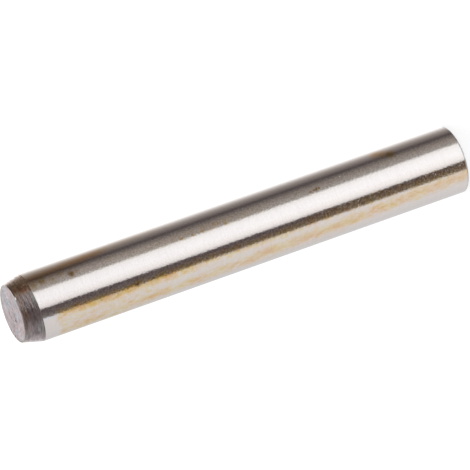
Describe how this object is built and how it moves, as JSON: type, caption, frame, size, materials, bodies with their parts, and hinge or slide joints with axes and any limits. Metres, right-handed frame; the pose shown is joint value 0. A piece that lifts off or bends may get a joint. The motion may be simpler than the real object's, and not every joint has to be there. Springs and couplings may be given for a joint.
{
  "type": "dowel pin",
  "caption": "Parallel dowel pin of hardened ground steel, with a tapered lead-in at one end and a plain, lightly rounded other end.",
  "frame": {"origin": "centre of the plain end face, on which the pin stands", "axes": "+Z along the pin's axis, towards the tapered lead-in end; +X and +Y across the axis"},
  "size_m": [0.01, 0.01, 0.07],
  "materials": {
    "ground_steel": "hardened steel, bright ground shank, turned lead-in taper and faced ends, with golden to brown oil and oxide staining along one side"
  },
  "bodies": {
    "root": {"pin": "ground_steel"}
  },
  "joints": []
}
